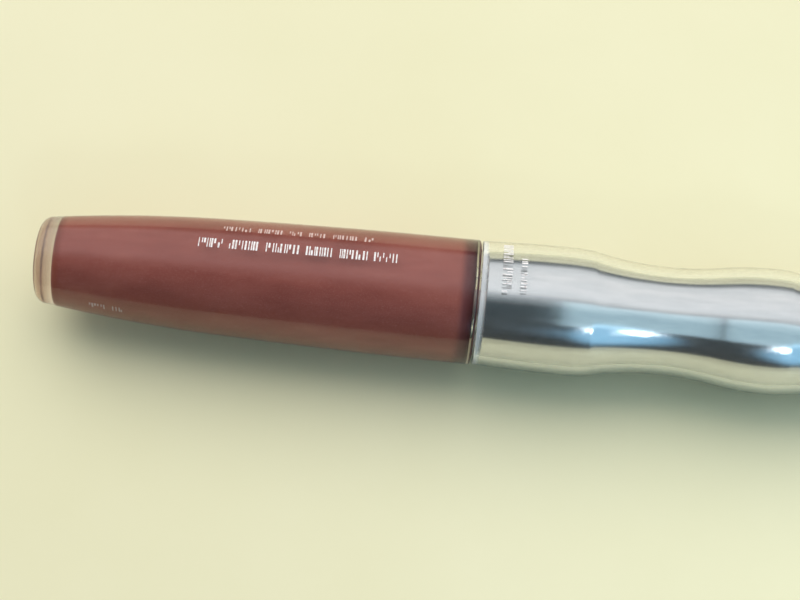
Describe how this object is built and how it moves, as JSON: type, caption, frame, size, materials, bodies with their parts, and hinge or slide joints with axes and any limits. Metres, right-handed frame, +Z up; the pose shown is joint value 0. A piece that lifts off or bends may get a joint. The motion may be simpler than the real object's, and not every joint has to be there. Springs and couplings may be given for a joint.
{
  "type": "lip gloss tube",
  "caption": "Lying lip gloss tube: thick clear bottle of pearly gloss with a threaded neck and wiper, and a clear waisted cap over a silver sleeve that unscrews and lifts out the flocked wand.",
  "frame": {"origin": "on the surface that the lying tube rests on, below the middle of its length and of its width", "axes": "+X along the tube's axis, from the bottle's base to the cap's closed end; +Z up; +Y across the tube"},
  "size_m": [0.1168, 0.0174, 0.0175],
  "materials": {
    "clear_tube": "thick clear moulded plastic",
    "gloss": "pearly rose lip gloss",
    "wiper_plastic": "soft natural polyethylene",
    "clear_cap": "thick clear moulded plastic",
    "silver": "bright metallised silver",
    "inner_plastic": "white moulded polypropylene",
    "seal_foam": "closed-cell white foam",
    "stem_plastic": "white moulded rod with a film of gloss",
    "core_plastic": "white flexible plastic",
    "flock": "short nylon flock soaked in gloss"
  },
  "bodies": {
    "tube": {"tube_body": "clear_tube", "gloss_fill": "gloss", "neck_wiper": "wiper_plastic"},
    "seal": {"seal_washer": "seal_foam"},
    "cap_core": {"cap_sleeve": "silver"},
    "cap": {"cap_shell": "clear_cap", "inner_cap": "inner_plastic", "wand_stem": "stem_plastic", "applicator_core": "core_plastic", "applicator_flock": "flock"}
  },
  "joints": [
    {"name": "wand_withdraw", "type": "slide", "parent": "tube", "child": "seal", "axis": [1, 0, 0], "range_m": [0, 0.07]},
    {"name": "screw_rise", "type": "slide", "parent": "seal", "child": "cap_core", "axis": [1, 0, 0], "range_m": [0, 0.00314]},
    {"name": "cap_unscrew", "type": "hinge", "parent": "cap_core", "child": "cap", "pos_m": [0, 0, 0.00874], "axis": [1, 0, 0], "range_deg": [0, 450]}
  ],
  "couplings": [
    {"joint": "screw_rise", "follows": "cap_unscrew", "m_per_rad": 0.00039789}
  ]
}
